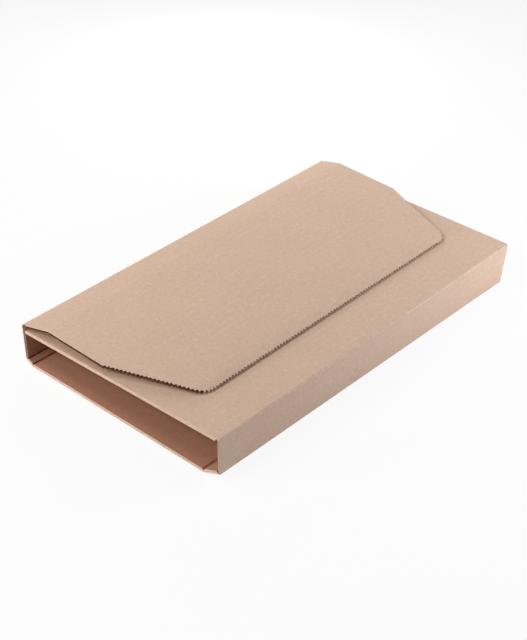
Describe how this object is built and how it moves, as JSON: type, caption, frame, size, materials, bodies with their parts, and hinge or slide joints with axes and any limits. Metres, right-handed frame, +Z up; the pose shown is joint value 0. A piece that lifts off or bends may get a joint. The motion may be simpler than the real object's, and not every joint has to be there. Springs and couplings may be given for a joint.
{
  "type": "wraparound mailer",
  "caption": "Flat wraparound mailer of kraft corrugated board: an open-ended sleeve folded from a single creased sheet, with a zig-zag edged closing flap that lifts at its fold.",
  "frame": {"origin": "middle of the mailer's footprint, on the surface that it rests on", "axes": "+Z up; +Y along the open sleeve, parallel to the creases; +X from the flap's fold towards the opposite side wall"},
  "size_m": [0.194, 0.34, 0.0445],
  "materials": {
    "kraft_board": "uncoated brown kraft liner",
    "kraft_flap_board": "uncoated brown kraft liner",
    "hot_melt_adhesive": "soft translucent film",
    "silicone_paper": "smooth satin paper",
    "tear_tape_film": "thin film"
  },
  "bodies": {
    "sleeve": {"folded_sleeve": "kraft_board"},
    "flap": {"closing_flap": "kraft_flap_board", "adhesive_strip": "hot_melt_adhesive", "release_liner": "silicone_paper", "tear_tape": "tear_tape_film"}
  },
  "joints": [
    {"name": "flap_fold", "type": "hinge", "parent": "sleeve", "child": "flap", "pos_m": [-0.097, 0, 0.0385], "axis": [0, -1, 0], "range_deg": [0, 180]}
  ]
}
